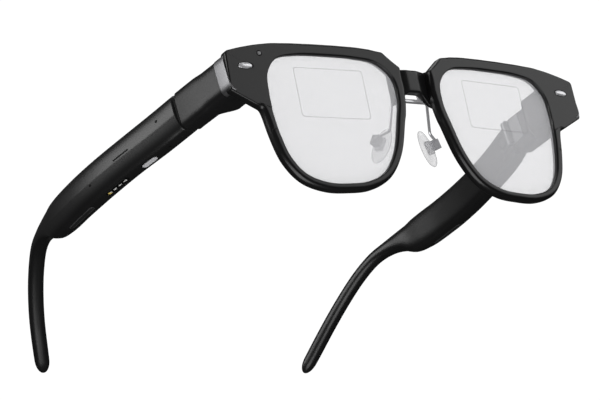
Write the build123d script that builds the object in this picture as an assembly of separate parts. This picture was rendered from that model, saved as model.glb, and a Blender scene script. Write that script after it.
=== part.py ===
from build123d import *
import math
import os

# Smart glasses with a see-through display, in millimetres.
# The parts are drawn upright: x across the face, y backwards, z up, with the
# lens centres at z = 0. The wearer looks along -y, so the wearer's left is +x.
# The last step leans the glasses back to stand on the rims and the ear tips.

# ---- driving dimensions ----
LENS_X = 35.7                # lens centre from the middle
WRAP = 3.36                  # each half of the front turns back by this angle, degrees
RIM = 2.6                    # rim width around a lens
DEPTH = 3.4                  # front frame, front to back
LIP = 1.5                    # rim in front of the lens
REBATE = 0.9                 # lens edge held under the lip
LENS_T = 1.0
GUIDE_T = 0.7                # display plate behind the lens
FILM_T = 0.06
HALF_WIDTH = 74.0            # outer edge of an end piece
BROW_Z = 25.1                # top of the brow
BRIDGE_HALF = 6.4
BRIDGE_TOP = 19.2
BRIDGE_LOW = 10.4
BRIDGE_FRONT = 0.2
BRIDGE_BACK = 3.9

WALL = 1.1                   # moulded walls
GAP = 0.3                    # clearance between moving bodies
LEAN = 8.0                   # hinge axes lean back by this angle, degrees
BLOCK_END = 31.3             # rear face of the light engine block, at mid height
FOLD_GAP = 1.3               # open seam between block and temple
PIN_X, PIN_Y, PIN_Z = 66.7, 31.95, 12.7
PIN_R = 0.7
PIN_CLEAR = 0.04
KNUCKLE_R = 1.6
KNUCKLE_H = 3.0
LEAF_T = 0.9
LEAF_L = 7.0

BAND_T = 0.5                 # metal band let into the block
BAND_Y0, BAND_Y1 = 3.0, 8.3

PITCH = 2.44                 # final lean onto the ear tips
SHIFT = -83.0                # moves the box centre to y = 0
LIFT = 26.37                 # raises the rims to z = 0

# stations along the left temple: y, x, z, half thickness, half height
TEMPLE = [
    (31.0, 71.4, 13.0, 4.20, 6.40),
    (45.0, 74.7, 10.1, 4.20, 6.55),
    (60.0, 77.5, 7.8, 4.20, 6.65),
    (75.0, 79.4, 5.9, 4.20, 6.75),
    (90.0, 80.1, 4.3, 4.15, 6.80),
    (103.0, 79.6, 3.3, 3.95, 6.45),
    (113.0, 78.4, 3.4, 3.40, 4.80),
    (122.0, 76.8, 3.3, 2.95, 2.95),
    (130.0, 74.8, 1.5, 2.85, 2.50),
    (138.0, 72.2, -3.0, 2.80, 2.45),
    (146.0, 69.2, -9.5, 2.80, 2.45),
    (154.0, 65.6, -17.6, 2.80, 2.50),
    (162.0, 61.2, -27.3, 2.75, 2.50),
    (166.4, 58.6, -32.8, 2.60, 2.40),
]
HOUSING_END = 108.0          # rear end of the hollow part of a temple
TIP_START = 119.0            # front end of the soft ear tip
STATION_STEP = 8             # distance between the sections of a temple
TIP_ROUNDING = [(163.0, 1.0), (165.0, 0.9), (166.0, 0.66), (166.39, 0.25)]

SIDES = {"left": False, "right": True}


# ---- placing ----
def stand(shape):
    """Leans the upright glasses back and lifts them onto z = 0."""
    return Pos(0, SHIFT, LIFT) * Rot(PITCH, 0, 0) * shape


def save(shape, node):
    export_step(stand(shape), f"parts/{node}.step")


def save_pair(shape, node):
    """One piece drawn on the wearer's left, and its mirror image."""
    for side, flipped in SIDES.items():
        save(mirror(shape, about=Plane.YZ) if flipped else shape, f"{node}_{side}")


def wrap(shape):
    """Turns a flat left half of the front back about its lens centre."""
    return Pos(LENS_X, 0, 0) * Rot(0, 0, WRAP) * Pos(-LENS_X, 0, 0) * shape


def slab(outline, front, back):
    """An outline in x and z made solid from depth front to depth back."""
    return Rot(90, 0, 0) * extrude(Pos(0, 0, -back) * outline, back - front)


def box(x0, x1, y0, y1, z0, z1):
    size = Box(x1 - x0, y1 - y0, z1 - z0)
    return Pos((x0 + x1) / 2, (y0 + y1) / 2, (z0 + z1) / 2) * size


# ---- the front ----
def lens_outline(grow=0.0):
    """Lens shape: flat top, tight outer top corner, leaning nasal side."""
    points = [
        (59.9, 0), (60.1, 7), (59.2, 13.9), (54.9, 19.2), (47.6, 20.9), (35.7, 21.3),
        (23.5, 21.0), (15.8, 19.7), (10.4, 14.8), (9.5, 7), (11.2, 0), (15.2, -11.7),
        (20.8, -19.2), (28, -22.7), (35.7, -23.7), (44, -23.5), (51.6, -20.8),
        (56.2, -15.4), (58.5, -8.5),
    ]
    if grow:
        points = grown(points, grow)
    return make_face(Spline(*points, periodic=True))


def grown(points, distance):
    """Moves each point of a closed outline outwards, square to its neighbours."""
    moved = []
    for before, here, after in zip(points[-1:] + points[:-1], points, points[1:] + points[:1]):
        along = Vector(after[0] - before[0], after[1] - before[1]).normalized()
        moved.append((here[0] + along.Y * distance, here[1] - along.X * distance))
    return moved


def brow_outline():
    """Brow, end piece and the root of the bridge, as one outline."""
    corners = [
        ((2.0, BRIDGE_TOP - 0.1), 0.5), ((6.6, BRIDGE_TOP), 1.6), ((12.6, 23.6), 2.0),
        ((23.0, 25.0), 8.0), ((41.0, BROW_Z), 20.0), ((63.0, 23.2), 30.0),
        ((HALF_WIDTH, 20.7), 1.6), ((HALF_WIDTH, 7.2), 1.4), ((64.0, 1.6), 1.5),
        ((62.0, -3.0), 0.5), ((36.0, 2.0), 0.5), ((9.0, 3.0), 0.5), ((2.0, BRIDGE_LOW), 0.5),
    ]
    points = [point for point, _ in corners]
    radii = [radius for _, radius in corners]
    return make_face(FilletPolyline(*points, radius=radii, close=True))


def front_half():
    outline = lens_outline(RIM) + brow_outline()
    half = slab(outline, 0, DEPTH)
    half -= slab(lens_outline(), -1, LIP + 0.1)
    half -= slab(lens_outline(REBATE), LIP, DEPTH + 1)
    return wrap(half)


def bridge():
    """Saddle between the rims, set back from their faces and arched below."""
    reach = BRIDGE_HALF + 2.5
    body = box(-reach, reach, BRIDGE_FRONT, BRIDGE_BACK, BRIDGE_LOW, BRIDGE_TOP)
    arch = Pos(0, 0, BRIDGE_LOW - 5.2) * Rot(90, 0, 0) * Cylinder(6.2, 20)
    return body - arch


def front_frame():
    half = front_half()
    both = half + mirror(half, about=Plane.YZ)
    saddle_cut = box(-BRIDGE_HALF + 1.5, BRIDGE_HALF - 1.5, -4, BRIDGE_FRONT, 0, 30)
    both = both - saddle_cut + bridge()
    frame = both
    for piece in (stud(), band_region()):
        frame -= piece
        frame -= mirror(piece, about=Plane.YZ)
    frame -= mirror(status_led(), about=Plane.YZ)
    for screw in bracket_screws():
        frame -= screw
    return frame


def lens():
    return wrap(slab(lens_outline(REBATE - 0.05), LIP, LIP + LENS_T))


def waveguide():
    start = LIP + LENS_T + 0.05
    return wrap(slab(lens_outline(REBATE - 0.05), start, start + GUIDE_T))


def outcoupler():
    """Thin rectangular grating film on the back of the display plate."""
    start = LIP + LENS_T + 0.05 + GUIDE_T
    film = Pos(35.0, 7.6) * RectangleRounded(27.0, 17.6, 0.8)
    return wrap(slab(film, start, start + FILM_T))


def stud():
    """Oval rivet head let into the face of an end piece."""
    head = Pos(67.4, 15.9) * Rot(0, 0, -3) * SlotOverall(5.2, 1.7)
    shank = Pos(67.4, 15.9) * Circle(0.6)
    return wrap(slab(head, 0.15, 0.75) + slab(shank, 0.75, 2.6))


def status_led():
    return wrap(slab(Pos(61.2, 20.6) * Circle(0.75), 0.1, 1.6))


# ---- the light engine block, fixed behind an end piece ----
def block_section(y, x0, x1, z0, z1, radius):
    lean = math.tan(math.radians(LEAN))
    middle = (z0 + z1) / 2
    plane = Plane(origin=((x0 + x1) / 2, y, middle), x_dir=(1, 0, 0), z_dir=(0, -1, lean))
    return plane * RectangleRounded(x1 - x0, z1 - z0, radius)


def block_loft(inset, start, end):
    """Block walls: wide beside the lens, then stepped out to the temple's width."""
    i = inset
    radius = 2.4 - inset
    sections = [
        block_section(start, 61.0 + i, 74.1 - i, 7.9 + i, 20.4 - i, radius),
        block_section(16.5, 61.4 + i, 74.9 - i, 7.2 + i, 19.9 - i, radius),
        block_section(20.5, 66.9 + i, 75.2 - i, 6.9 + i, 19.6 - i, radius),
        block_section(end, 67.4 + i, 75.8 - i, 6.1 + i, 19.0 - i, radius),
    ]
    return loft(sections, ruled=True)


def behind_front():
    """Everything behind the back face of the left half of the front."""
    return wrap(box(40, 100, DEPTH, 80, -40, 60))


def band_region():
    """Metal band around the outer side of the block and the end piece edge."""
    lean = Pos(0, 0, 14) * Rot(-LEAN, 0, 0) * Pos(0, 0, -14)
    ring = block_loft(0, 1.0, BLOCK_END) - block_loft(BAND_T, 1.0, BLOCK_END)
    return ring & (lean * box(71.6, 90, BAND_Y0, BAND_Y1, -10, 40))


def engine_housing():
    housing = block_loft(0, 1.0, BLOCK_END) - block_loft(WALL, -1.0, BLOCK_END - WALL)
    housing = housing & behind_front()
    housing -= band_region()
    housing -= hinge_space()
    housing -= hinge_front_leaf()
    return housing


def light_engine():
    """Micro display, prism and lens barrel, stacked behind the end piece."""
    body = box(63.0, 72.4, 8.0, 15.0, 9.6, 18.0)
    barrel = Pos(67.7, 7.2, 13.8) * Rot(90, 0, 0) * Cylinder(3.2, 2.4)
    driver = box(69.0, 73.2, 15.0, 27.0, 10.2, 16.0)
    return body + barrel + driver


# ---- hinge ----
def at_hinge(shape):
    return Pos(PIN_X, PIN_Y, PIN_Z) * Rot(-LEAN, 0, 0) * shape


def knuckle(level, bore):
    height = KNUCKLE_H if level else KNUCKLE_H - 0.2
    ring = Cylinder(KNUCKLE_R, height) - Cylinder(bore, height + 2)
    return Pos(0, 0, level * KNUCKLE_H) * ring


def pin_bore():
    return Cylinder(PIN_R, 5 * KNUCKLE_H)


def hinge_front_leaf():
    leaf = box(0.15, 0.15 + LEAF_T, -LEAF_L, 0, -1.5 * KNUCKLE_H, 1.5 * KNUCKLE_H)
    leaf -= box(-3, 3, -1.95, 3, -0.5 * KNUCKLE_H, 0.5 * KNUCKLE_H)
    leaf -= Cylinder(KNUCKLE_R - 0.1, 5 * KNUCKLE_H)
    for level in (-1, 1):
        leaf += knuckle(level, PIN_R)
    return at_hinge(leaf)


def hinge_rear_leaf():
    half = 0.5 * KNUCKLE_H - 0.1
    leaf = Rot(0, 0, -14) * box(0.15, 0.15 + LEAF_T, 0, LEAF_L + 1, -half, half)
    leaf -= Cylinder(KNUCKLE_R - 0.1, 5 * KNUCKLE_H)
    leaf += knuckle(0, PIN_R + PIN_CLEAR)
    return at_hinge(leaf)


def hinge_pin():
    """Screw that the temple turns on, with a slotted head on top."""
    length = 3 * KNUCKLE_H
    head = Pos(0, 0, length / 2 + 0.3) * Cylinder(1.25, 0.6)
    head -= Pos(0, 0, length / 2 + 0.5) * Box(3, 0.35, 0.3)
    return at_hinge(Cylinder(PIN_R, length) + head)


def hinge_space():
    """Room for the knuckles in the block and the temple."""
    return at_hinge(Pos(0, 0, 0.3) * Cylinder(KNUCKLE_R + GAP, 3 * KNUCKLE_H + 1.8))


# ---- temple ----
def temple_path():
    return Spline(*[(x, y, z) for y, x, z, _, _ in TEMPLE])


PATH = temple_path()


def station_plane(y):
    """Plane across the temple: local x outwards, local y up, local z forwards."""
    low, high = 0.0, 1.0
    for _ in range(40):
        middle = (low + high) / 2
        if (PATH @ middle).Y < y:
            low = middle
        else:
            high = middle
    tangent = PATH % low
    outward = Vector(tangent.Y, -tangent.X, 0)
    return Plane(origin=PATH @ low, x_dir=outward, z_dir=-tangent)


def station_size(y):
    """Half thickness and half height at y, between the listed stations."""
    for front, back in zip(TEMPLE, TEMPLE[1:]):
        if y <= back[0]:
            break
    share = (y - front[0]) / (back[0] - front[0])
    return tuple(f + share * (b - f) for f, b in zip(front[3:], back[3:]))


def temple_section(y, inset=0.0, scale=1.0):
    half_x, half_z = station_size(y)
    half_x = (half_x - inset) * scale
    half_z = (half_z - inset) * scale
    radius = 0.62 * min(half_x, half_z)
    if y > HOUSING_END:
        radius = 0.9 * min(half_x, half_z)
    return station_plane(y) * RectangleRounded(2 * half_x, 2 * half_z, radius)


def temple_body():
    """The whole outer shape of a temple, from the fold to the rounded tip."""
    rows = [temple_section(y) for y in range(31, 161, STATION_STEP)]
    rows += [temple_section(y, 0, scale) for y, scale in TIP_ROUNDING]
    return loft(rows)


def behind(y):
    """Everything behind the temple's cross plane at y."""
    plane = station_plane(y)
    return plane.location * Pos(0, 0, -150) * Box(200, 200, 300)


def fold_cut(distance):
    """Everything behind the leaning plane at a distance behind the block."""
    lean = Pos(0, BLOCK_END + distance, PIN_Z) * Rot(-LEAN, 0, 0)
    return lean * box(0, 140, 0, 200, -100, 100)


def cavity(inset=WALL):
    rows = [temple_section(y, inset) for y in range(31, 104, STATION_STEP)]
    return loft(rows)


def cover_region():
    """Inner side of the hollow part, which lifts off as a cover."""
    stations = (37.0, 45.0, 60.0, 75.0, 90.0, 104.0)
    line = []
    for y in stations:
        spot = station_plane(y).origin
        line.append((spot.X - station_size(y)[0] + WALL + 0.3, spot.Y))
    edge = Spline(*line)
    first, last = line[0], line[-1]
    rest = Polyline(last, (last[0] - 20, last[1] + 5), (first[0] - 20, first[1] - 5), first)
    return Pos(0, 0, -40) * extrude(make_face(edge + rest), 80)


def on_outer(y, up, depth):
    """A spot on the outer face of the temple, looking inwards by depth."""
    plane = station_plane(y)
    return plane.location * Pos(station_size(y)[0] - depth / 2, up, 0) * Rot(0, 90, 0)


def on_underside(y, out, depth):
    """A spot on the underside of the temple, for a hole of a given depth."""
    plane = station_plane(y)
    return plane.location * Pos(out, -station_size(y)[1] + depth / 2, 0) * Rot(90, 0, 0)


MIC_HOLES = [(41.6, 1.7), (78.0, -1.7)]
TOUCH_SLOT_Y = 59.2
BUTTON_Y = 52.3
BUTTON_TRAVEL = 0.4
CONTACT_YS = (64.6, 67.4, 70.2, 73.0)
GRILLE_Y = 91.4


def stadium(length, width, height):
    """Round-ended bar, long along local y and as high as height."""
    return Pos(0, 0, -height / 2) * extrude(Rot(0, 0, 90) * SlotOverall(length, width), height)


def button_hole():
    return on_underside(BUTTON_Y, 0, 3.0) * stadium(7.4, 2.9, 4.0)


def grille_slot():
    return on_underside(GRILLE_Y, 0.4, 3.0) * stadium(15.0, 1.5, 4.0)


def right_side_cuts():
    """Microphone holes, light slot, button hole and contact holes."""
    cuts = [button_hole()]
    for y, up in MIC_HOLES:
        cuts.append(on_outer(y, up, 3.0) * Cylinder(0.4, 4.0))
    cuts.append(on_outer(TOUCH_SLOT_Y, 0.3, 0.4) * Box(8.0, 0.45, 0.8))
    cuts.append(on_underside(42.5, 0, 3.0) * Cylinder(0.4, 4.0))
    cuts.append(on_underside(68.8, 0.5, 1.35) * stadium(12.0, 2.6, 2.0))
    return cuts


def contact_base():
    """Insulating strip that holds the charging contacts, just proud of the underside."""
    plate = on_underside(68.8, 0.5, 1.2) * stadium(12.0, 2.6, 1.5)
    for contact in contacts():
        plate -= contact
    return plate


def contacts():
    pins = []
    for y in CONTACT_YS:
        radius = 0.85 if y == CONTACT_YS[-1] else 0.65
        pins.append(on_underside(y, 0.5, 1.9) * Cylinder(radius, 2.1))
    return pins


def temple_walls():
    return (temple_body() & fold_cut(FOLD_GAP)) - cavity()


def end_cap():
    """Black plug that closes the front of the temple inside the fold seam."""
    neck = loft([temple_section(31.2, 0.7), temple_section(35.5, 0.7)])
    cap = neck & (fold_cut(GAP) - fold_cut(FOLD_GAP))
    cap += cavity(WALL + 0.05) & (fold_cut(FOLD_GAP) - fold_cut(FOLD_GAP + 2.0))
    return cap - hinge_space() - hinge_rear_leaf()


def in_cavity(y, length, width, height, up=0.0, out=0.0):
    """A box inside the temple, in line with it."""
    return station_plane(y).location * Pos(out, up, 0) * Box(width, height, length)


def tip_core():
    """Bendable wire that stiffens the ear tip."""
    rows = [station_plane(y) * Circle(0.8) for y in (112, 122, 130, 138, 146, 152, 158)]
    return loft(rows)


def speaker():
    body = in_cavity(GRILLE_Y, 14.0, 5.0, 4.0, -1.6)
    magnet = in_cavity(GRILLE_Y, 9.0, 4.0, 2.0, 1.4)
    return body + magnet


def speaker_grille():
    return on_underside(GRILLE_Y, 0.4, 1.2) * stadium(15.0, 1.5, 0.5)


def action_button():
    """Pill-shaped push button, with a flange that keeps it in and a switch stem."""
    cap = on_underside(BUTTON_Y, 0, 1.2) * stadium(6.8, 2.3, 1.8)
    flange = on_underside(BUTTON_Y, 0, 3.6) * stadium(8.4, 3.7, 0.6)
    stem = on_underside(BUTTON_Y, 0, 5.8) * Cylinder(0.8, 1.6)
    return cap + flange + stem


def button_switch():
    return in_cavity(BUTTON_Y, 4.0, 3.0, 1.0, -1.9)


# ---- nose pads ----
PAD_CENTRE = Vector(9.6, 11.8, -4.5)
PAD_LONG = Vector(6.2, 2.6, -12.4).normalized()
PAD_FACE = Vector(-0.872, 0.320, -0.369).normalized()
PAD_L, PAD_W, PAD_T = 13.4, 7.2, 2.0


def at_pad(shape):
    """Local x along the pad, local z out of its nose side."""
    return Plane(origin=PAD_CENTRE, x_dir=PAD_LONG, z_dir=PAD_FACE).location * shape


def nose_pad():
    pad = Pos(0, 0, -PAD_T / 2) * extrude(Ellipse(PAD_L / 2, PAD_W / 2), PAD_T)
    pad = fillet(pad.edges(), 0.7)
    pocket = Pos(0, 0, -PAD_T / 2) * Box(4.6, 2.8, 1.2)
    return at_pad(pad - pocket)


def pad_holder():
    """Clip moulded into the pad, which rocks on the pin across the box."""
    plate = Pos(0, 0, -PAD_T / 2) * Box(4.6, 2.8, 1.2)
    tongue = Pos(0, 0, -2.3) * Box(1.8, 0.8, 1.6)
    eye = Pos(0, 0, -2.9) * Rot(90, 0, 0) * Cylinder(0.9, 0.8)
    hole = Pos(0, 0, -2.9) * Rot(90, 0, 0) * Cylinder(0.4 + PIN_CLEAR, 4)
    return at_pad(plate + tongue + eye - hole)


def pad_box():
    """Small metal box on the wire end, with the pin that the clip rocks on."""
    walls = Pos(0, 0, -3.3) * Box(3.4, 2.8, 2.6)
    room = Pos(0, 0, -2.7) * Box(2.6, 1.6, 2.6)
    pin = Pos(0, 0, -2.9) * Rot(90, 0, 0) * Cylinder(0.4, 2.8)
    return at_pad(walls - room + pin)


def nose_bracket():
    """Bar under the bridge, its two screw tabs, both wires and pad boxes."""
    bar = box(-7.2, 7.2, BRIDGE_BACK, BRIDGE_BACK + 1.4, 8.8, 9.8)
    half = box(3.4, 6.6, BRIDGE_BACK, BRIDGE_BACK + 0.7, 8.8, 15.2)
    box_spot = PAD_CENTRE - PAD_FACE * 4.5
    wire_path = FilletPolyline(
        (5.0, BRIDGE_BACK + 0.7, 9.3),
        (7.4, BRIDGE_BACK + 0.8, 8.9),
        (8.6, 7.7, -0.8),
        (box_spot.X, box_spot.Y, box_spot.Z),
        radius=[1.0, 1.6],
    )
    start = Plane(origin=wire_path @ 0, z_dir=wire_path % 0)
    wire = sweep(start * Circle(0.5), path=wire_path)
    half = half + wire + pad_box()
    bracket = bar + half + mirror(half, about=Plane.YZ)
    for screw in bracket_screws():
        bracket -= screw
    return bracket


def bracket_screws():
    """Two small screws that hold the bracket to the back of the bridge."""
    turn = Pos(5.0, BRIDGE_BACK, 13.2) * Rot(90, 0, 0)
    shank = turn * Pos(0, 0, 0.35) * Cylinder(0.5, 2.1)
    head = turn * Pos(0, 0, -0.95) * Cylinder(1.0, 0.5)
    screw = shank + head
    return [screw, mirror(screw, about=Plane.YZ)]


# ---- everything together ----
def build_temples():
    walls = temple_walls()
    housing = walls - behind(TIP_START)
    region = cover_region()
    cover = housing & region
    shell = housing - region
    space = hinge_space() + hinge_rear_leaf()
    shell -= space
    cover -= space
    shell -= grille_slot()
    tip = (walls & behind(TIP_START)) - tip_core()
    shell -= tip_core()
    right_shell = shell
    for cut in right_side_cuts():
        right_shell -= cut
    save(shell, "temple_shell_left")
    save(mirror(right_shell, about=Plane.YZ), "temple_shell_right")
    save_pair(cover, "temple_cover")
    save_pair(tip, "ear_tip")
    save_pair(tip_core(), "tip_core")
    save_pair(end_cap(), "temple_end_cap")
    save_pair(in_cavity(73.0, 17.0, 4.6, 5.4, 2.0), "battery")
    save_pair(in_cavity(50.5, 22.0, 1.0, 6.2, 2.0, -1.2), "circuit_board")
    save_pair(speaker(), "speaker")
    save_pair(speaker_grille(), "speaker_grille")


def build_right_controls():
    one_side = {
        "action_button": action_button(),
        "button_switch": button_switch(),
        "contact_base": contact_base(),
        "charging_contacts": Compound(children=contacts()),
        "microphones": Compound(children=[in_cavity(y, 2.6, 1.0, 1.8, up, 2.3) for y, up in MIC_HOLES]),
    }
    for node, shape in one_side.items():
        save(mirror(shape, about=Plane.YZ), node)


def build_front():
    save(front_frame(), "front_frame")
    save(mirror(status_led(), about=Plane.YZ), "status_led")
    pairs = {
        "front_lens": lens(),
        "waveguide": waveguide(),
        "outcoupler_film": outcoupler(),
        "rivet_stud": stud(),
        "trim_band": band_region(),
        "engine_housing": engine_housing(),
        "light_engine": light_engine(),
        "hinge_front_leaf": hinge_front_leaf(),
        "hinge_rear_leaf": hinge_rear_leaf(),
        "hinge_pin": hinge_pin(),
        "nose_pad": nose_pad(),
        "pad_holder": pad_holder(),
    }
    for node, shape in pairs.items():
        save_pair(shape, node)
    save(nose_bracket(), "nose_bracket")
    save(Compound(children=bracket_screws()), "bracket_screws")


os.makedirs("parts", exist_ok=True)
build_front()
build_temples()
build_right_controls()
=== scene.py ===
import math

import bpy
import numpy as np
from mathutils import Matrix, Vector


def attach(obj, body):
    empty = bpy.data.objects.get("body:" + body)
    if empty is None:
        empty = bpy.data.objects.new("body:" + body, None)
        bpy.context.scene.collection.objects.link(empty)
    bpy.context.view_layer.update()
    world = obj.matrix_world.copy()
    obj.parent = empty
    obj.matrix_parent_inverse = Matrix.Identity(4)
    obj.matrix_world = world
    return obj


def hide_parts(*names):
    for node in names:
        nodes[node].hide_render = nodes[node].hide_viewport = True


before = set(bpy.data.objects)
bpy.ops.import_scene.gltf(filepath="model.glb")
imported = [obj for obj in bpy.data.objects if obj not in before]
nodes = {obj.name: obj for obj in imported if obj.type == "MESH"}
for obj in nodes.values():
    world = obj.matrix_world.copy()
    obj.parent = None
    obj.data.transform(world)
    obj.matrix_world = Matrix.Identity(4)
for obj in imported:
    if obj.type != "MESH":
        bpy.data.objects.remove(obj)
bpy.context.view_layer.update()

# Lengths in this script are millimetres in the upright frame of the glasses:
# x to the wearer's left, y backwards, z up from the lens centres. stand() leans
# them onto the rims and ear tips and turns them into metres.
PITCH = math.radians(2.44)
SHIFT = -83.0
LIFT = 26.37
MM = 0.001
SIDES = {"left": 1.0, "right": -1.0}

# front: lens centre, wrap of each half, rim width, depth, and the lens's seat
LENS_X = 35.7
WRAP = math.radians(3.36)
RIM = 2.6
RIM_SWELL = 0.45
DEPTH = 3.4
LIP = 1.5
REBATE = 0.9
FRONT_COLUMNS = 900
# radii of the outer edge, the lip's edge and the back edge
BROW_EDGE = 0.5
LOWER_EDGE = 1.5
BROW_LIP = 0.3
LOWER_LIP = 0.65
BACK_EDGE = 0.7
# places on the front's face before its wrap: x, z
LED = (61.2, 20.6)
STUD = (67.4, 15.9)
STUD_TILT = 0.05
GRATING = (34.8, 8.3)

# light engine blocks, and the fold seam behind them, which leans with LEAN
BLOCK_START = 4.2
BLOCK_END = 31.3
BLOCK_SQUARENESS = 5.0
BAND_START = 2.75
BAND_END = 8.15
SEAM = 33.0
SEAM_Z = 12.7
LEAN = math.tan(math.radians(8.0))

# left lens opening, from the temple side over the top to the nose and below: x, z
LENS_POINTS = [
    (59.9, 0), (60.1, 7), (59.2, 13.9), (54.9, 19.2), (47.6, 20.9), (35.7, 21.3),
    (23.5, 21.0), (15.8, 19.7), (10.4, 14.8), (9.5, 7), (11.2, 0), (15.2, -11.7),
    (20.8, -19.2), (28, -22.7), (35.7, -23.7), (44, -23.5), (51.6, -20.8),
    (56.2, -15.4), (58.5, -8.5),
]
# corner and its rounding radius, from below the outer end piece over the brow to the nose
BROW_CORNERS = [
    ((60.4, -6.0), 0.5), ((63.6, 1.4), 2.2), ((74.5, 7.1), 1.3), ((74.1, 20.9), 1.7),
    ((68.5, 22.45), 60.0), ((62.5, 23.75), 60.0), ((55.5, 24.75), 60.0), ((48.0, 25.3), 60.0),
    ((40.0, 25.5), 60.0), ((31.0, 25.5), 60.0), ((23.0, 25.3), 60.0), ((17.5, 24.8), 12.0),
    ((12.4, 23.8), 2.4), ((6.3, 18.5), 1.4), ((5.9, 11.0), 3.0), ((7.8, 1.0), 3.0),
    ((13.0, -8.0), 0.5),
]
# along the left temple: y, x, z, half thickness, half height, squareness
TEMPLE = np.array([
    (31.0, 71.4, 12.75, 4.20, 6.75, 4.6),
    (45.0, 74.7, 9.95, 4.20, 6.75, 4.4),
    (60.0, 77.5, 7.8, 4.20, 6.65, 4.2),
    (75.0, 79.4, 5.9, 4.20, 6.75, 4.2),
    (90.0, 80.1, 4.3, 4.15, 6.80, 4.0),
    (103.0, 79.6, 3.2, 3.95, 6.65, 3.6),
    (108.5, 79.1, 3.0, 3.70, 6.05, 3.2),
    (113.5, 78.3, 3.5, 3.40, 4.50, 2.8),
    (122.0, 76.8, 3.3, 2.95, 2.95, 2.4),
    (130.0, 74.8, 1.5, 2.85, 2.50, 2.3),
    (138.0, 72.2, -3.0, 2.80, 2.45, 2.3),
    (146.0, 69.2, -9.5, 2.80, 2.45, 2.3),
    (154.0, 65.6, -17.6, 2.80, 2.50, 2.3),
    (162.0, 61.2, -27.3, 2.75, 2.50, 2.3),
    (166.4, 58.6, -32.8, 2.60, 2.40, 2.2),
])
TIP_DOME = 163.4
TIP_END = 166.4
# the crease of the outer face, as a share of the half height, and the fall on its two sides
CREASE = -0.12
CREASE_FALL = 0.26
UPPER_ROLL = 0.13
# speaker slot on the underside: y, outward distance
SPEAKER = (91.4, 0.4)
# charging contacts: y, length, width. The gold one lies behind GOLD_FROM.
CONTACTS = [(64.6, 1.6, 0.6), (67.4, 1.6, 0.6), (70.2, 1.6, 0.6), (73.0, 1.6, 1.2)]
CONTACTS_ACROSS = 0.5
GOLD_FROM = 71.6


# ---------------------------------------------------------------- geometry tools
def stand(points):
    """Upright millimetres to standing metres: a turn by PITCH about x, then a shift and a lift."""
    p = np.asarray(points, float)
    c, s = math.cos(PITCH), math.sin(PITCH)
    out = np.empty_like(p)
    out[..., 0] = p[..., 0]
    out[..., 1] = p[..., 1] * c - p[..., 2] * s + SHIFT
    out[..., 2] = p[..., 1] * s + p[..., 2] * c + LIFT
    return out * MM


def unit(v):
    """Vectors scaled to length 1."""
    return v / np.linalg.norm(v, axis=-1, keepdims=True)


def hermite(knots, values, at):
    """Smooth curve through values at knots: each span is a cubic whose end slopes are
    the average of the slopes on both sides."""
    knots, values, at = (np.asarray(a, float) for a in (knots, values, at))
    slopes = np.gradient(values, knots, axis=0)
    i = np.clip(np.searchsorted(knots, at) - 1, 0, len(knots) - 2)
    h = knots[i + 1] - knots[i]
    t = (at - knots[i]) / h
    if values.ndim > 1:
        h, t = h[:, None], t[:, None]
    a, b = values[i], values[i + 1]
    p, q = slopes[i] * h, slopes[i + 1] * h
    return (a * (2 * t**3 - 3 * t**2 + 1) + p * (t**3 - 2 * t**2 + t)
            + b * (3 * t**2 - 2 * t**3) + q * (t**3 - t**2))


def smooth(x, low, high):
    """0 below low, 1 above high, and 3t^2 - 2t^3 between."""
    t = np.clip((np.asarray(x, float) - low) / (high - low), 0, 1)
    return t * t * (3 - 2 * t)


def squircle(t, power):
    """Rounded-square curve: |cos|^(2/p), |sin|^(2/p), with their signs."""
    c, s = np.cos(t), np.sin(t)
    return (np.sign(c) * np.abs(c) ** (2 / power), np.sign(s) * np.abs(s) ** (2 / power))


def squircle_angles(count, power=4.2, start=0.0, turn=2 * math.pi):
    """Angles that space points evenly round the rounded square."""
    t = np.linspace(start, start + turn, 20001)
    c, s = squircle(t, power)
    length = np.r_[0, np.cumsum(np.hypot(np.diff(c), 1.5 * np.diff(s)))]
    return np.interp(np.linspace(0, length[-1], count, endpoint=False), length, t)


def surface(name, rows, closed=False):
    """Mesh of a grid of points (rows by columns by xyz). Each row closes into a ring. The
    rows close into a torus, or the end rings get a fan to their mean point."""
    rows = np.asarray(rows, float)
    m, n = rows.shape[:2]
    points = rows.reshape(-1, 3)
    r = np.arange(m if closed else m - 1)[:, None]
    c = np.arange(n)[None, :]
    r2, c2 = (r + 1) % m, (c + 1) % n
    quads = np.stack([r * n + c, r * n + c2, r2 * n + c2, r2 * n + c], -1).reshape(-1, 4)
    faces = quads.tolist()
    if not closed:
        ends = np.stack([rows[0].mean(0), rows[-1].mean(0)])
        points = np.vstack([points, ends])
        k = np.arange(n)
        k2 = (k + 1) % n
        first = np.stack([np.full(n, m * n), k2, k], -1)
        last = np.stack([np.full(n, m * n + 1), (m - 1) * n + k, (m - 1) * n + k2], -1)
        faces += first.tolist() + last.tolist()
    return mesh_object(name, points, faces)


def mesh_object(name, points, faces):
    """Object at the origin with its place in its mesh, smooth, its faces outwards."""
    mesh = bpy.data.meshes.new(name)
    mesh.from_pydata(stand(points).tolist(), [], faces)
    mesh.update()
    obj = bpy.data.objects.new(name, mesh)
    bpy.context.scene.collection.objects.link(obj)
    if signed_volume(mesh) < 0:
        mesh.flip_normals()
    mesh.polygons.foreach_set("use_smooth", [True] * len(mesh.polygons))
    return obj


def signed_volume(mesh):
    """Sum of the triangles' corner products: negative when the faces point inwards."""
    mesh.calc_loop_triangles()
    co = np.empty(len(mesh.vertices) * 3)
    mesh.vertices.foreach_get("co", co)
    tri = np.empty(len(mesh.loop_triangles) * 3, int)
    mesh.loop_triangles.foreach_get("vertices", tri)
    a, b, c = co.reshape(-1, 3)[tri.reshape(-1, 3)].transpose(1, 0, 2)
    return float((a * np.cross(b, c)).sum())


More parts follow.
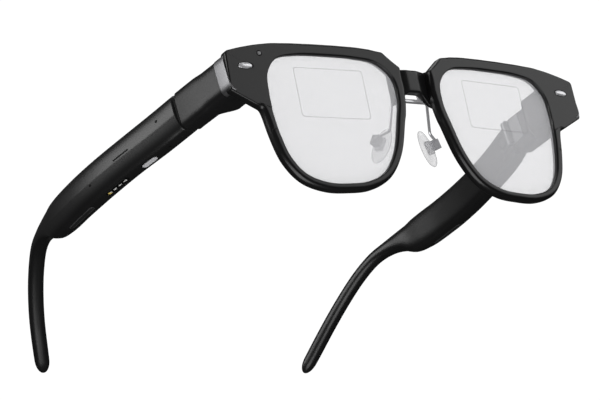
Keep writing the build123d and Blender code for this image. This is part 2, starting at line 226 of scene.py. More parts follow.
def joined(name, parts):
    """One object from several that share a frame."""
    points, faces, start = [], [], 0
    for part in parts:
        mesh = part.data
        co = np.empty(len(mesh.vertices) * 3)
        mesh.vertices.foreach_get("co", co)
        points.append(co.reshape(-1, 3))
        faces += [[v + start for v in p.vertices] for p in mesh.polygons]
        start += len(mesh.vertices)
        bpy.data.objects.remove(part)
    mesh = bpy.data.meshes.new(name)
    mesh.from_pydata(np.vstack(points).tolist(), [], faces)
    mesh.polygons.foreach_set("use_smooth", [True] * len(mesh.polygons))
    obj = bpy.data.objects.new(name, mesh)
    bpy.context.scene.collection.objects.link(obj)
    return obj


def mirrored(points, side):
    """The left side's points, or their mirror image for the right side."""
    out = np.array(points, float)
    out[..., 0] *= SIDES[side]
    return out


def finish_piece(obj, body, slot, material, *replaced):
    """Ties a piece to its body and material, and hides the nodes it stands for. Its slot is not
    used.
    """
    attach(obj, body)
    if replaced:
        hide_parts(*replaced)
    obj.data.materials.clear()
    obj.data.materials.append(material)
    return obj


# ---------------------------------------------------------------- outlines of the front
def wrap(points, side=1.0):
    """Turns a flat half about its lens centre, so that it curves back at the outer end."""
    p = np.array(points, float)
    dx, y = p[..., 0] - LENS_X, p[..., 1]
    c, s = math.cos(WRAP), math.sin(WRAP)
    p[..., 0], p[..., 1] = LENS_X + dx * c - y * s, dx * s + y * c
    p[..., 0] *= side
    return p


def ring_normals(loop):
    """Outward unit normals of a closed anticlockwise loop."""
    along = unit(np.roll(loop, -1, 0) - np.roll(loop, 1, 0))
    return np.stack([along[:, 1], -along[:, 0]], -1)


def lens_loop(grow=0.0, count=1200):
    """Closed smooth curve through the lens points, moved outwards by grow."""
    knots = np.array(LENS_POINTS + LENS_POINTS[:3], float)
    knots = np.vstack([LENS_POINTS[-3:], knots])
    steps = np.r_[0, np.cumsum(np.sqrt(np.linalg.norm(np.diff(knots, axis=0), axis=1)))]
    at = np.linspace(steps[3], steps[-3], count, endpoint=False)
    loop = hermite(steps, knots, at)
    return loop + ring_normals(loop) * grow


def rounded(corners, pieces=14):
    """Open line with each inner corner replaced by a tangent arc of its radius."""
    spots = np.array([c for c, _ in corners], float)
    line = [spots[:1]]
    for k in range(1, len(spots) - 1):
        into, out = unit(spots[k] - spots[k - 1]), unit(spots[k + 1] - spots[k])
        turn = math.acos(float(np.clip(into @ out, -1, 1)))
        reach = corners[k][1] * math.tan(turn / 2)
        limit = 0.48 * min(np.linalg.norm(spots[k] - spots[k - 1]),
                           np.linalg.norm(spots[k + 1] - spots[k]))
        reach = min(reach, limit)
        radius = reach / math.tan(turn / 2)
        start = spots[k] - into * reach
        side = np.sign(into[0] * out[1] - into[1] * out[0])
        centre = start + side * radius * np.array([-into[1], into[0]])
        a0 = math.atan2(*(start - centre)[::-1])
        angle = a0 + side * np.linspace(0, turn, pieces)
        line.append(centre + radius * np.stack([np.cos(angle), np.sin(angle)], -1))
    line.append(spots[-1:])
    return np.vstack(line)


def polar(loop, angles, cyclic):
    """Distance of an outline from the lens centre at the given angles."""
    dx, dz = loop[:, 0] - LENS_X, loop[:, 1]
    a, r = np.arctan2(dz, dx), np.hypot(dx, dz)
    if not cyclic:
        a = np.unwrap(a)
        steps = np.linspace(0, len(a) - 1, 6000)
        dense = np.stack([np.interp(steps, np.arange(len(a)), v) for v in (dx, dz)])
        a, r = np.unwrap(np.arctan2(dense[1], dense[0])), np.hypot(*dense)
        return np.interp(angles, a, r, left=0, right=0)
    order = np.argsort(a)
    return np.interp(angles, a[order], r[order], period=2 * math.pi)


def outline_angles():
    """Angles round the lens centre that share out the outline's length plus its bend, so
    that they lie closer together at the corners."""
    a = np.linspace(-math.pi / 2, 1.5 * math.pi, 6000)
    r = outer_radius(a)
    length = np.hypot(np.gradient(r), r * np.gradient(a))
    bend = np.abs(np.gradient(np.unwrap(np.arctan2(np.gradient(r * np.sin(a)),
                                                   np.gradient(r * np.cos(a))))))
    weight = np.cumsum(length / length.mean() + 0.9 * bend / bend.mean())
    at = np.linspace(weight[0], weight[-1], FRONT_COLUMNS, endpoint=False)
    return np.interp(at, weight, a)


def outer_radius(angles):
    """Soft maximum of the rim's and the brow's outlines, which rounds where they meet."""
    rim = polar(lens_loop(RIM), (angles + math.pi) % (2 * math.pi) - math.pi, True)
    rim = rim + RIM_SWELL * np.abs(np.cos(angles)) ** 1.5
    brow = polar(rounded(BROW_CORNERS), angles, False)
    power = 60.0
    big = np.maximum(rim, brow)
    return big * ((rim / big) ** power + (brow / big) ** power) ** (1 / power)


def at_radius(angles, radius):
    """Points of the front's plane at the given distances from the lens centre."""
    return np.stack([LENS_X + radius * np.cos(angles), radius * np.sin(angles)], -1)


def front_half(side):
    """Rim section carried round the lens: each ring is the inner or the outer outline,
    moved along its own normal, at a depth y. It goes from the lens's rebate over the lip,
    round the lip's edge, across the face, round the outer edge and back. The edges are
    quarter circles, wider where the outline is the lower rim's alone."""
    a = outline_angles()
    wrapped = (a + math.pi) % (2 * math.pi) - math.pi
    outer = at_radius(a, outer_radius(a))
    inner = at_radius(a, polar(lens_loop(), wrapped, True))
    n_out, n_in = ring_normals(outer), ring_normals(inner)
    rim_only = polar(lens_loop(RIM), wrapped, True)
    low = 1 - smooth(outer_radius(a) - rim_only, 1.1, 3.2)[:, None]
    edge = BROW_EDGE + (LOWER_EDGE - BROW_EDGE) * low
    lip_edge = BROW_LIP + (LOWER_LIP - BROW_LIP) * low
    rows = []

    # one outline of the section, moved in its plane, at a depth y
    def ring(outline, shift, y):
        flat = outline + shift
        y = np.broadcast_to(np.asarray(y, float).reshape(-1), (len(flat),))
        rows.append(np.stack([flat[:, 0], y, flat[:, 1]], -1))

    # rings of a quarter circle at the outer outline
    def quarter(radius, y_centre, start, end, steps):
        for t in np.linspace(start, end, steps):
            ring(outer, n_out * (radius * (math.cos(t) - 1)), y_centre + radius * math.sin(t))

    ring(inner, n_in * REBATE, DEPTH)
    ring(inner, n_in * REBATE, LIP)
    ring(inner, 0, LIP)
    ring(inner, 0, 0.6 * LIP)
    for t in np.linspace(0, math.pi / 2, 6):
        ring(inner, n_in * (lip_edge * (1 - math.cos(t))), lip_edge * (1 - math.sin(t)))
    ring(inner, n_in * (lip_edge + 0.12), 0)
    ring(outer, -n_out * (edge + 0.15), 0)
    quarter(edge, edge, -math.pi / 2, 0, 9)
    quarter(BACK_EDGE, DEPTH - BACK_EDGE, 0, math.pi / 2, 6)
    grid = np.array(rows).transpose(1, 0, 2)
    return surface("half", wrap(grid, SIDES[side]), closed=True)


def bridge():
    """Saddle across x: each section is a rounded square in y and z. Its face dips beside
    the rims by a ramp with a soft start, and its underside rises to the middle."""
    half_length, ramp_start, ramp_slope, softness = 8.6, 2.2, 0.40, 0.35
    x = np.linspace(-half_length, half_length, 121)
    ramp = softness * np.log1p(np.exp((np.abs(x) - ramp_start) / softness))
    face = 0.45 + ramp_slope * ramp - 2.6 * smooth(np.abs(x), 6.3, 8.0)
    top = 19.3 - 0.2 * np.exp(-(x / 3.5) ** 2)
    bottom = 10.9 - 4.4 * smooth(np.abs(x), 1.8, 8.4)
    back = np.full_like(x, DEPTH + 0.5)
    c, s = squircle(np.linspace(0, 2 * math.pi, 72, endpoint=False), 7.0)
    y = ((face + back) / 2)[:, None] + ((back - face) / 2)[:, None] * c
    z = ((top + bottom) / 2)[:, None] + ((top - bottom) / 2)[:, None] * s
    return surface("saddle", np.stack([np.broadcast_to(x[:, None], y.shape), y, z], -1))


# ---------------------------------------------------------------- temples
def temple_frames(y):
    """Centre, outward and upward directions, and section sizes at each y. The directions
    turn with the centre line: outward is level, and upward is square to both."""
    values = hermite(TEMPLE[:, 0], TEMPLE[:, 1:], y)
    centre = np.stack([values[:, 0], y, values[:, 1]], -1)
    ahead = hermite(TEMPLE[:, 0], TEMPLE[:, 1:3], np.asarray(y) + 0.05)
    tangent = unit(np.stack([ahead[:, 0], y + 0.05, ahead[:, 1]], -1) - centre)
    outward = unit(np.stack([tangent[:, 1], -tangent[:, 0], np.zeros(len(y))], -1))
    upward = np.cross(outward, tangent)
    return centre, outward, upward, values


def crease(y, s):
    """How much the outer face falls away, as a share of its half thickness: in line with
    the drop below the crease, with the square of the rise above it, and not at the tail."""
    drop = np.clip(CREASE - s, 0, None)
    rise = np.clip(s - CREASE, 0, None)
    fade = (1 - smooth(y, 96, 116))[:, None]
    return (CREASE_FALL * np.minimum(drop, 0.9) + UPPER_ROLL * rise**2) * fade


def temple_points(y, t, inset=0.0):
    """Temple surface at stations y and section angles t, moved in by inset."""
    centre, outward, upward, v = temple_frames(y)
    inset = np.broadcast_to(np.asarray(inset, float), (len(y),))
    c, s = squircle(t[None, :], v[:, 4:5])
    c = np.where(c > 0, c * (1 - crease(np.asarray(y, float), s)), c)
    return (centre[:, None] + outward[:, None] * ((v[:, 2] - inset)[:, None] * c)[..., None]
            + upward[:, None] * ((v[:, 3] - inset)[:, None] * s)[..., None])


def temple_skin(side):
    """Sections carried along the temple. The front edge is a quarter circle at the seam,
    where the first rings lean to stay parallel to the block, and the tip ends in a dome:
    the section shrinks with the cosine while it moves on with the sine."""
    t = squircle_angles(132)
    edge = 0.3
    y = np.r_[np.linspace(SEAM + 0.02, SEAM + 3, 13), np.linspace(SEAM + 3.6, TIP_DOME, 210)]
    from_end = np.clip(y - SEAM, 0, edge)
    inset = edge - np.sqrt(edge**2 - (edge - from_end) ** 2)
    body = temple_points(y, t, inset)
    blend = (1 - smooth(y, SEAM, SEAM + 9))[:, None]
    centre_y = temple_frames(y)[0][:, 1:2]
    upright = centre_y + (body[..., 2] - SEAM_Z) * LEAN
    body[..., 1] = body[..., 1] * (1 - blend) + upright * blend
    end = np.linspace(0, math.pi / 2, 12)[1:]
    centre, outward, upward, v = temple_frames(TIP_DOME + (TIP_END - TIP_DOME) * np.sin(end))
    c, s = squircle(t[None, :], v[:, 4:5])
    scale = np.maximum(np.cos(end), 0.02)[:, None]
    dome = (centre[:, None] + outward[:, None] * (v[:, 2:3] * scale * c)[..., None]
            + upward[:, None] * (v[:, 3:4] * scale * s)[..., None])
    return surface(f"temple_skin_{side}", mirrored(np.vstack([body, dome]), side))


def skin_spot(y, across, face):
    """Point and normal of the temple's rounded square |c|^p + |s|^p = 1: across is the
    height on the outer face, or the outward distance on the underside."""
    centre, outward, upward, v = temple_frames(y)
    a, b, p = v[:, 2], v[:, 3], v[:, 4]
    if face == "outer":
        s = across / b
        c = (1 - np.abs(s) ** p) ** (1 / p)
        c = c * (1 - crease(np.asarray(y, float), s[:, None])[:, 0])
        normal = unit(outward * (c ** (p - 1) / a)[:, None]
                      + upward * (np.sign(s) * np.abs(s) ** (p - 1) / b)[:, None])
    else:
        c = across / a
        s = -((1 - np.abs(c) ** p) ** (1 / p))
        normal = unit(outward * (np.sign(c) * np.abs(c) ** (p - 1) / a)[:, None]
                      + upward * (-np.abs(s) ** (p - 1) / b)[:, None])
    spot = centre + outward * (a * c)[:, None] + upward * (b * s)[:, None]
    return spot, normal


def inlay(name, side, y0, across, length, width, face, high=0.05):
    """Round-ended patch that follows the temple's surface: rings of one outline, scaled
    and lifted along the surface's normal, from its buried base to its top at high."""
    half_l, half_w, buried, bevel = length / 2, width / 2, -0.3, 0.03
    t = np.linspace(0, 2 * math.pi, 64, endpoint=False)
    u = half_w * np.cos(t)
    v = half_w * np.sin(t) + np.sign(np.sin(t)) * (half_l - half_w)
    rows = []
    for scale, height in ((0.02, buried), (1.0, buried), (1.0, high - bevel), (0.95, high),
                          (0.7, high), (0.4, high), (0.02, high)):
        spot, normal = skin_spot(y0 + v * scale, across + u * scale, face)
        rows.append(spot + normal * height)
    return surface(name, mirrored(np.array(rows), side))


# ---------------------------------------------------------------- light engine blocks
def block_points(y, t, grow=0.0):
    """Block surface, sections of a rounded square at stations y. The outer side runs almost
    straight back, the inner side steps out behind the lens, and the height tapers. Each
    section leans like the seam."""
    x_in = 61.0 + 0.5 * smooth(y, 5, 15) + 5.4 * smooth(y, 15.6, 21.0) + 0.5 * smooth(y, 20, 31)
    x_out = 74.1 + 1.8 * smooth(y, -12, 40)
    along = (y - 3) / 28.3
    z_low = 6.9 - 1.5 * along
    z_top = 20.6 - 1.4 * along
    a = ((x_out - x_in) / 2 + grow)[:, None]
    b = ((z_top - z_low) / 2 + grow)[:, None]
    c, s = squircle(t[None, :], BLOCK_SQUARENESS)
    x = ((x_out + x_in) / 2)[:, None] + a * c
    z = ((z_top + z_low) / 2)[:, None] + b * s
    return np.stack([x, y[:, None] + (z - SEAM_Z) * LEAN, z], -1)


def block_skin(side):
    """Block sections from inside the front to the fold seam. The rear edge is a quarter
    circle."""
    t = squircle_angles(112)
    edge = 0.25
    near_end = BLOCK_END - 1.0
    y = np.r_[np.linspace(BLOCK_START, near_end, 90), np.linspace(near_end + 0.1, BLOCK_END, 14)]
    from_end = np.clip(BLOCK_END - y, 0, edge)
    inset = edge - np.sqrt(np.maximum(edge**2 - (edge - from_end) ** 2, 0))
    return surface(f"block_skin_{side}", mirrored(block_points(y, t, -inset), side))


def trim_band(side):
    """Metal strip on the block's outer side: the block's surface, grown by the heights of
    a strip's section with rolled edges."""
    t = squircle_angles(90, BLOCK_SQUARENESS, -1.15, 2.3)
    y0, y1, buried = BAND_START, BAND_END, -0.35
    section = [(y0 + 0.5, buried), (y0, -0.3), (y0, 0.06), (y0 + 0.12, 0.14), (y0 + 0.4, 0.16),
               (y1 - 0.4, 0.16), (y1 - 0.12, 0.14), (y1, 0.06), (y1, -0.3), (y1 - 0.5, buried)]
    y, heights = np.array(section).T
    grid = block_points(y, t, heights).transpose(1, 0, 2)
    return surface(f"trim_band_skin_{side}", mirrored(grid, side))


# ---------------------------------------------------------------- small parts
def face_oval(name, side, centre, half_length, half_height, profile, count=72, power=1.0,
              tilt=0.0):
    """Oval part on the front's face: rings of x = cos t to a power and z = sin t, scaled by
    the profile's first number, at the depth of its second, and tilted a little."""
    t = np.linspace(0, 2 * math.pi, count, endpoint=False)
    scale, depth = np.array(profile, float).T[..., None]
    u = half_length * scale * np.sign(np.cos(t)) * np.abs(np.cos(t)) ** power
    w = half_height * scale * np.sin(t)
    x, z = centre[0] + u + tilt * w, centre[1] + w - tilt * u
    rows = np.stack([x, np.broadcast_to(depth, x.shape), z], -1)
    return surface(name, wrap(rows, SIDES[side]))


def stud_head(side):
    """Oval rivet head: a shallow dome with a rolled edge, set in the end piece."""
    dome = [(1.0, 0.9), (1.0, 0.05), (0.97, -0.06), (0.86, -0.16), (0.6, -0.3), (0.3, -0.37),
            (0.03, -0.39)]
    return face_oval(f"stud_head_{side}", side, STUD, 2.6, 1.05, dome,
                     power=0.9, tilt=STUD_TILT)


def stud_recess(side):
    """Dark oval dish around a rivet head, reaching further inwards: painted shade of the recess
    that holds the stud.
    """
    dish = [(0.4, 0.5), (1.0, 0.4), (1.0, -0.01), (0.97, -0.03), (0.85, 0.02)]
    centre = (STUD[0] - 0.2, STUD[1])
    return face_oval(f"stud_recess_{side}", side, centre, 3.05, 1.3, dish, tilt=STUD_TILT)


def indicator(name, profile):
    """Round ring or window of the indicator on the right brow, radius 1 before scaling."""
    return face_oval(name, "right", LED, 1.0, 1.0, profile, count=48)


PAD_CENTRE = np.array((9.6, 11.8, -4.5))
PAD_LONG = unit(np.array((6.2, 2.6, -12.4)))
PAD_FACE = np.array((-0.872, 0.320, -0.369))
PAD_FACE = unit(PAD_FACE - PAD_LONG * (PAD_FACE @ PAD_LONG))
PAD_WIDE = np.cross(PAD_FACE, PAD_LONG)
PAD_HALF_LENGTH = 6.7
PAD_HALF_WIDTH = 3.55


def nose_pad(side):
    """Oval cushion: each ring is an ellipse whose size falls with a power of the cosine
    and whose height rises with the sine. It is dished on the nose side and egg-shaped
    along its length."""
    t = np.linspace(0, 2 * math.pi, 80, endpoint=False)
    angle = np.linspace(-math.pi / 2, math.pi / 2, 25)[:, None]
    scale = np.maximum(np.clip(np.cos(angle), 0, 1) ** 0.45, 0.02)
    height = np.sin(angle)
    u = PAD_HALF_LENGTH * scale * np.cos(t)
    w = PAD_HALF_WIDTH * scale * np.sin(t) * (1 + 0.1 * np.cos(t) * scale)
    thick = height - 0.36 * (height > 0) * (1 - scale)
    rows = (PAD_CENTRE + u[..., None] * PAD_LONG + w[..., None] * PAD_WIDE
            + thick[..., None] * PAD_FACE)
    return surface(f"nose_cushion_{side}", mirrored(rows, side))


def grating_edge(side):
    """Fine outline of the display area: a flat strip's section, carried round a rectangle
    that is a rounded square of high power."""
    half_width, half_height, strip, thickness = 13.5, 8.8, 0.26, 0.04
    c, s = squircle(squircle_angles(160), 26.0)
    front = LIP - 0.06
    section = [(0, front), (strip, front), (strip, front + thickness), (0, front + thickness)]
    inset, depth = np.array(section).T[..., None]
    x = GRATING[0] + (half_width - inset) * c
    z = GRATING[1] + (half_height - inset) * s
    grid = np.stack([x, np.broadcast_to(depth, x.shape), z], -1).transpose(1, 0, 2)
    return surface(f"grating_edge_{side}", wrap(grid, SIDES[side]), closed=True)


# ---------------------------------------------------------------- materials
CLOUD_SCALE = 55.0
RELIEF = 0.00005


def moulded_grain():
    """Shader group for a moulded or brushed surface: a fine noise gives the height, and a
    slow cloud gives the mask of the colour and the change of the roughness."""
    tree = bpy.data.node_groups.new("moulded_grain", "ShaderNodeTree")
    for label, kind in (("Scale", "NodeSocketFloat"), ("Base Roughness", "NodeSocketFloat"),
                        ("Spread", "NodeSocketFloat")):
        tree.interface.new_socket(label, in_out="INPUT", socket_type=kind)
    for label in ("Height", "Roughness", "Cloud"):
        tree.interface.new_socket(label, in_out="OUTPUT", socket_type="NodeSocketFloat")
    n, link = tree.nodes, tree.links.new
    gin, gout = n.new("NodeGroupInput"), n.new("NodeGroupOutput")
    coords = n.new("ShaderNodeTexCoord")
    fine, cloud = n.new("ShaderNodeTexNoise"), n.new("ShaderNodeTexNoise")
    fine.inputs["Detail"].default_value = 3.0
    cloud.inputs["Scale"].default_value = CLOUD_SCALE
    cloud.inputs["Detail"].default_value = 2.0
    link(coords.outputs["Object"], fine.inputs["Vector"])
    link(coords.outputs["Object"], cloud.inputs["Vector"])
    link(gin.outputs["Scale"], fine.inputs["Scale"])
    centred = n.new("ShaderNodeMath")
    centred.operation = "SUBTRACT"
    centred.inputs[1].default_value = 0.5
    link(cloud.outputs["Fac"], centred.inputs[0])
    rough = n.new("ShaderNodeMath")
    rough.operation = "MULTIPLY_ADD"
    link(centred.outputs[0], rough.inputs[0])
    link(gin.outputs["Spread"], rough.inputs[1])
    link(gin.outputs["Base Roughness"], rough.inputs[2])
    link(fine.outputs["Fac"], gout.inputs["Height"])
    link(rough.outputs[0], gout.inputs["Roughness"])
    link(cloud.outputs["Fac"], gout.inputs["Cloud"])
    return tree


def principled(name):
    """New material with its nodes and the call that links two sockets."""
    material = bpy.data.materials.new(name)
    material.use_nodes = True
    return material, material.node_tree.nodes, material.node_tree.links.new


def grain_node(n, grain, roughness, spread):
    """The grain group, placed in a material with its own values."""
    group = n.new("ShaderNodeGroup")
    group.node_tree = GRAIN
    group.inputs["Scale"].default_value = grain
    group.inputs["Base Roughness"].default_value = roughness
    group.inputs["Spread"].default_value = spread
    return group


def grained(name, dark, light, roughness, grain, spread, bump, metallic=0.0, specular=0.5,
            alpha=1.0):
    """Finish whose colour, roughness and bump come from the grain group."""
    material, n, link = principled(name)
    shader = n["Principled BSDF"]
    group = grain_node(n, grain, roughness, spread)
    mix = n.new("ShaderNodeMix")
    mix.data_type = "RGBA"
    mix.inputs["A"].default_value = (*dark, 1)
    mix.inputs["B"].default_value = (*light, 1)
    link(group.outputs["Cloud"], mix.inputs["Factor"])
    link(mix.outputs["Result"], shader.inputs["Base Color"])
    link(group.outputs["Roughness"], shader.inputs["Roughness"])
    if bump:
        relief = n.new("ShaderNodeBump")
        relief.inputs["Strength"].default_value = bump
        relief.inputs["Distance"].default_value = RELIEF
        link(group.outputs["Height"], relief.inputs["Height"])
        link(relief.outputs["Normal"], shader.inputs["Normal"])
    shader.inputs["Metallic"].default_value = metallic
    shader.inputs["Specular IOR Level"].default_value = specular
    shader.inputs["Alpha"].default_value = alpha
    return material


def grey(value):
    """Grey with a trace of blue."""
    return (value, value, value * 1.03)


def clear_rubber(name, middle, edge, alpha_low, alpha_high, roughness):
    """Clear moulding: see-through face on, and darker and denser where it turns away, a painted
    shade that stands in for the dark edges that refraction gives clear silicone.
    """
    material, n, link = principled(name)
    shader = n["Principled BSDF"]
    group = grain_node(n, 700, roughness, 0.04)
    link(group.outputs["Roughness"], shader.inputs["Roughness"])
    turn = n.new("ShaderNodeLayerWeight")
    turn.inputs["Blend"].default_value = 0.5
    power = n.new("ShaderNodeMath")
    power.operation = "POWER"
    power.inputs[1].default_value = 2.0
    link(turn.outputs["Facing"], power.inputs[0])
    mix = n.new("ShaderNodeMix")
    mix.data_type = "RGBA"
    mix.inputs["A"].default_value = (*middle, 1)
    mix.inputs["B"].default_value = (*edge, 1)
    link(power.outputs[0], mix.inputs["Factor"])
    link(mix.outputs["Result"], shader.inputs["Base Color"])
    cover = n.new("ShaderNodeMapRange")
    cover.inputs["To Min"].default_value = alpha_low
    cover.inputs["To Max"].default_value = alpha_high
    link(power.outputs[0], cover.inputs["Value"])
    link(cover.outputs["Result"], shader.inputs["Alpha"])
    return material


def contact_plating(name, border):
    """Bright plating on the contacts in front of the border, gold on the one behind it:
    the border is a y in metres."""
    material, n, link = principled(name)
    shader = n["Principled BSDF"]
    coords, split = n.new("ShaderNodeTexCoord"), n.new("ShaderNodeSeparateXYZ")
    step, mix = n.new("ShaderNodeMath"), n.new("ShaderNodeMix")
    link(coords.outputs["Object"], split.inputs[0])
    step.operation = "GREATER_THAN"
    step.inputs[1].default_value = border
    link(split.outputs["Y"], step.inputs[0])
    mix.data_type = "RGBA"
    mix.inputs["A"].default_value = (0.74, 0.74, 0.72, 1)
    mix.inputs["B"].default_value = (0.86, 0.66, 0.20, 1)
    link(step.outputs[0], mix.inputs["Factor"])
    link(mix.outputs["Result"], shader.inputs["Base Color"])
    shader.inputs["Metallic"].default_value = 0.1
    shader.inputs["Roughness"].default_value = 0.25
    return material


GRAIN = moulded_grain()
satin_front = grained("satin_black_front", grey(0.005), grey(0.008), 0.30, 2600, 0.06, 0.015)
satin_temple = grained("satin_black_temple", grey(0.006), grey(0.010), 0.34, 2600, 0.07, 0.015)
deep_black = grained("deep_black", grey(0.002), grey(0.003), 0.6, 1800, 0.05, 0.1, specular=0.15)
chrome = grained("polished_steel", grey(0.70), grey(0.76), 0.15, 900, 0.05, 0.03, metallic=0.6)
screw_steel = grained("plain_steel", grey(0.5), grey(0.58), 0.26, 1500, 0.08, 0.06, metallic=1.0)
hinge_steel = grained("dark_plated_steel", grey(0.12), grey(0.16), 0.3, 1500, 0.08, 0.06,
                      metallic=1.0)
band_metal = grained("brushed_gunmetal", grey(0.24), grey(0.31), 0.42, 2400, 0.1, 0.12,
                     metallic=1.0)
silver = grained("silver_anodised", grey(0.76), grey(0.82), 0.3, 2600, 0.06, 0.02, metallic=0.1)
stud_metal = grained("polished_stud", grey(0.78), grey(0.84), 0.22, 1500, 0.05, 0.03,
                     metallic=0.6)
foil = grained("battery_foil", grey(0.45), grey(0.55), 0.35, 900, 0.1, 0.2, metallic=1.0)
board = grained("green_solder_mask", (0.01, 0.09, 0.04), (0.015, 0.12, 0.05), 0.35, 1200, 0.1, 0.1)
# painted highlight: a lighter grey lip round the speaker slot stands in for the light edge line
# along it
rim_highlight_grey = grained("painted_highlight_rim", grey(0.05), grey(0.08), 0.3, 2000, 0.06, 0.08)
mesh_black = grained("fine_black_mesh", grey(0.008), grey(0.02), 0.5, 5200, 0.1, 0.5)
led_window = grained("smoked_window", grey(0.14), grey(0.20), 0.15, 900, 0.04, 0.02)
# painted veil: the clear lens gets a whitish base colour with partial cover, which stands in for
# the veil of light over it
lens_clear = grained("clear_lens", grey(0.80), grey(0.82), 0.12, 400, 0.02, 0.0, alpha=0.28)
guide_clear = grained("display_plate", grey(0.80), grey(0.82), 0.12, 400, 0.02, 0.0, alpha=0.12)
grating_line = grained("grating_line", grey(0.16), grey(0.24), 0.3, 900, 0.05, 0.02, alpha=0.16)
# painted shade: the pads and the clip turn dark grey towards their edges, in place of the dark
# edges that refraction gives them
silicone = clear_rubber("clear_silicone", grey(0.88), grey(0.05), 0.16, 0.96, 0.12)
clip_clear = clear_rubber("clear_clip", grey(0.60), grey(0.10), 0.45, 0.95, 0.10)
gold = contact_plating("contact_plating", float(stand((0.0, GOLD_FROM, 0.0))[1]))

# finishes of the nodes that keep their own mesh, on both sides
CAD_FINISHES = {
    "nose_bracket": chrome, "bracket_screws": screw_steel, "pad_holder": clip_clear,
    "front_lens": lens_clear, "waveguide": guide_clear, "light_engine": deep_black,
    "hinge_front_leaf": hinge_steel, "hinge_rear_leaf": hinge_steel, "hinge_pin": screw_steel,
    "temple_end_cap": deep_black, "tip_core": screw_steel, "battery": foil,
    "circuit_board": board, "speaker": deep_black, "microphones": hinge_steel,
    "contact_base": deep_black, "button_switch": deep_black, "action_button": silver,
}


def finish_cad_nodes():
    """Puts each kept node's finish in its material slots."""
    for node, obj in nodes.items():
        material = CAD_FINISHES.get(node.removesuffix("_left").removesuffix("_right"))
        if material:
            obj.data.materials.clear()
            obj.data.materials.append(material)


# ---------------------------------------------------------------- the pieces
def build_front():
    """Front shell, indicator, and on each side the block, band, stud, grating and pad."""
    parts = [front_half(side) for side in SIDES] + [bridge()]
    front = joined("front_shell", parts)
    finish_piece(front, "front", "frame_black", satin_front, "front_frame")
    ring = [(0.5, 0.5), (1.0, 0.4), (1.0, -0.05), (0.95, -0.09), (0.78, -0.09), (0.72, -0.02)]
    dome = [(0.2, 0.4), (0.7, 0.3), (0.7, -0.03), (0.5, -0.08), (0.25, -0.1), (0.02, -0.11)]
    finish_piece(indicator("led_ring", ring), "front", "cap_black", deep_black)
    finish_piece(indicator("led_dome", dome), "front", "led", led_window, "status_led")
    for side in SIDES:
        finish_piece(block_skin(side), "front", "housing_black", satin_temple,
                     f"engine_housing_{side}")
        finish_piece(trim_band(side), "front", "trim_metal", band_metal, f"trim_band_{side}")
        finish_piece(stud_head(side), "front", "stud_silver", stud_metal, f"rivet_stud_{side}")
        # painted shade: the dark dish round the stud stands in for the shade in its recess
        finish_piece(stud_recess(side), "front", "cap_black", deep_black)
        finish_piece(grating_edge(side), "front", "grating", grating_line,
                     f"outcoupler_film_{side}")
        finish_piece(nose_pad(side), f"nose_pad_{side}", "pad_silicone", silicone,
                     f"nose_pad_{side}")


def build_temples():
    """Both temples' skins and speaker slots, then what only the right temple has."""
    for side in SIDES:
        body = f"temple_{side}"
        finish_piece(temple_skin(side), body, "housing_black", satin_temple,
                     f"temple_shell_{side}", f"temple_cover_{side}", f"ear_tip_{side}")
        # The rim is a lighter grey lip, a painted highlight along the slot's edge.
        rim = inlay(f"speaker_rim_{side}", side, *SPEAKER, 15.6, 2.0, "under")
        finish_piece(rim, body, "cap_black", rim_highlight_grey)
        slot = inlay(f"speaker_slot_{side}", side, *SPEAKER, 15.0, 1.4, "under", high=0.08)
        finish_piece(slot, body, "grille_mesh", mesh_black, f"speaker_grille_{side}")
    body = "temple_right"
    # The microphone holes, the underside hole and the side slot are flat black patches: painted
    # shade that stands in for the dark inside of the openings.
    for name, y, across, length, width, face in (
            ("front_microphone_hole", 41.6, 1.7, 1.1, 1.0, "outer"),
            ("rear_microphone_hole", 78.0, -1.7, 1.1, 1.0, "outer"),
            ("underside_hole", 42.5, 0.0, 0.9, 0.88, "under"),
            ("side_slot", 60.2, -0.1, 8.0, 0.62, "outer"),
            ("button_surround", 52.3, 0.0, 7.4, 2.9, "under")):
        hole = inlay(name, "right", y, across, length, width, face)
        finish_piece(hole, body, "cap_black", deep_black)
    contacts = [inlay("contact", "right", y, CONTACTS_ACROSS, length, width, "under", high=0.3)
                for y, length, width in CONTACTS]
    finish_piece(joined("contact_row", contacts), body, "contact_gold", gold,
                 "charging_contacts")


# ---------------------------------------------------------------- setting
# The camera stands in the upright frame: its place, then in degrees the azimuth from x
# towards y and the rise of its line of sight, and its roll about that line.
CAMERA_MM = (-524.33, -593.67, -285.22)
CAMERA_AZIMUTH = 51.8225
CAMERA_RISE = 18.6267
CAMERA_ROLL = -11.1495
CAMERA_LENS = 151.52
SENSOR = 36.0
# metres, in the standing frame
LIGHT_TARGET = Vector((0, -0.02, 0.03))
FLOOR_RADIUS = 12.0
FLOOR_HEIGHT = -0.62
SURROUND_LIGHT = 0.05
SURROUND_SEEN = 1.05


def add_camera():
    """Camera along its azimuth and rise, rolled, and leaned with the glasses."""
    azimuth, rise, roll = (math.radians(a) for a in (CAMERA_AZIMUTH, CAMERA_RISE, CAMERA_ROLL))
    forward = Vector((math.cos(rise) * math.cos(azimuth), math.cos(rise) * math.sin(azimuth),
                      math.sin(rise)))
    level = Vector((math.sin(azimuth), -math.cos(azimuth), 0))
    right = level * math.cos(roll) + level.cross(forward) * math.sin(roll)
    lean = Matrix.Rotation(PITCH, 3, "X")
    right, forward = lean @ right, lean @ forward
    pose = Matrix((right, right.cross(forward), -forward)).transposed().to_4x4()
    pose.translation = Vector(stand(CAMERA_MM))
    data = bpy.data.cameras.new("camera")
    data.lens = CAMERA_LENS
    data.sensor_width = SENSOR
    data.clip_start = 0.01
    data.clip_end = 50.0
    camera = bpy.data.objects.new("camera", data)
    camera.matrix_world = pose
    bpy.context.scene.collection.objects.link(camera)
    bpy.context.scene.camera = camera


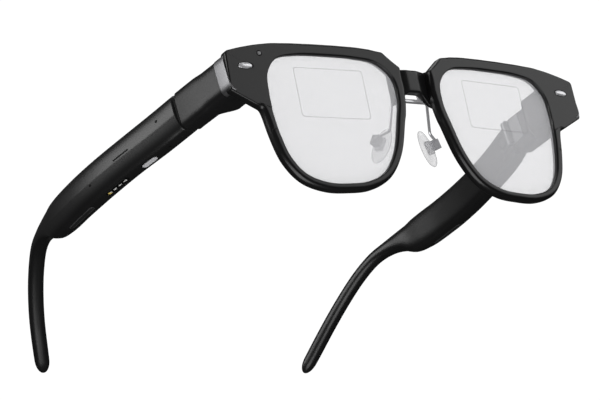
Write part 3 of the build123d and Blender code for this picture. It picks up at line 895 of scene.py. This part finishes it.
def add_light(name, direction, distance, size, power, fill=False):
    """Softbox that faces the glasses from a direction, its distance and size in metres and
    its power in watts. A fill casts no shadow and shows in no gloss."""
    data = bpy.data.lights.new(name, "AREA")
    data.shape = "RECTANGLE"
    data.size, data.size_y = size
    data.energy = power
    data.use_shadow = not fill
    lamp = bpy.data.objects.new(name, data)
    lamp.visible_camera = False
    lamp.visible_glossy = not fill
    lamp.location = LIGHT_TARGET + Vector(direction).normalized() * distance
    lamp.rotation_euler = (-Vector(direction)).to_track_quat("-Z", "Y").to_euler()
    bpy.context.scene.collection.objects.link(lamp)


def add_world():
    """White surround for the eye, dim grey for the light that it gives."""
    world = bpy.data.worlds.new("studio")
    bpy.context.scene.world = world
    world.use_nodes = True
    n, link = world.node_tree.nodes, world.node_tree.links.new
    lit, seen = n["Background"], n.new("ShaderNodeBackground")
    lit.inputs["Color"].default_value = (1, 1, 1, 1)
    lit.inputs["Strength"].default_value = SURROUND_LIGHT
    seen.inputs["Color"].default_value = (1, 1, 1, 1)
    seen.inputs["Strength"].default_value = SURROUND_SEEN
    path, mix = n.new("ShaderNodeLightPath"), n.new("ShaderNodeMixShader")
    link(path.outputs["Is Camera Ray"], mix.inputs["Fac"])
    link(lit.outputs[0], mix.inputs[1])
    link(seen.outputs[0], mix.inputs[2])
    link(mix.outputs[0], n["World Output"].inputs["Surface"])


def floor_finish():
    """Pale matt floor for the eye, which sends little light up to the undersides."""
    material, n, link = principled("pale_floor")
    noise, mix = n.new("ShaderNodeTexNoise"), n.new("ShaderNodeMix")
    coords, path = n.new("ShaderNodeTexCoord"), n.new("ShaderNodeLightPath")
    noise.inputs["Scale"].default_value = 3.0
    link(coords.outputs["Object"], noise.inputs["Vector"])
    mix.data_type = "RGBA"
    mix.inputs["A"].default_value = (0.90, 0.90, 0.91, 1)
    mix.inputs["B"].default_value = (0.93, 0.93, 0.94, 1)
    link(noise.outputs["Fac"], mix.inputs["Factor"])
    shader = n["Principled BSDF"]
    shader.inputs["Base Color"].default_value = (0.05, 0.05, 0.05, 1)
    shader.inputs["Roughness"].default_value = 0.9
    link(mix.outputs["Result"], shader.inputs["Emission Color"])
    link(path.outputs["Is Camera Ray"], shader.inputs["Emission Strength"])
    return material


def add_floor():
    """Pale round floor, well below the low camera."""
    t = np.linspace(0, 2 * math.pi, 96, endpoint=False)
    points = np.stack([FLOOR_RADIUS * np.cos(t), FLOOR_RADIUS * np.sin(t),
                       np.full_like(t, FLOOR_HEIGHT)], -1)
    mesh = bpy.data.meshes.new("floor")
    mesh.from_pydata(points.tolist(), [], [list(range(len(t)))])
    floor = bpy.data.objects.new("floor", mesh)
    bpy.context.scene.collection.objects.link(floor)
    floor.data.materials.append(floor_finish())


build_front()
build_temples()
finish_cad_nodes()
add_camera()
add_world()
add_floor()
add_light("face_softbox", (0.766, -0.643, 0.36), 1.3, (1.4, 0.8), 3.9)
add_light("side_softbox", (-0.90, 0.33, 0.40), 1.3, (1.0, 0.45), 6.0)
add_light("top_softbox", (0.1, 0.1, 1.0), 1.4, (1.2, 1.2), 8.0)
add_light("lens_fill", (0.45, -0.65, 0.85), 1.5, (0.8, 0.8), 18.0, fill=True)
add_light("under_fill", (-0.45, -0.35, -0.82), 0.66, (0.7, 0.7), 4.2)

scene = bpy.context.scene
scene.view_settings.view_transform = "Standard"
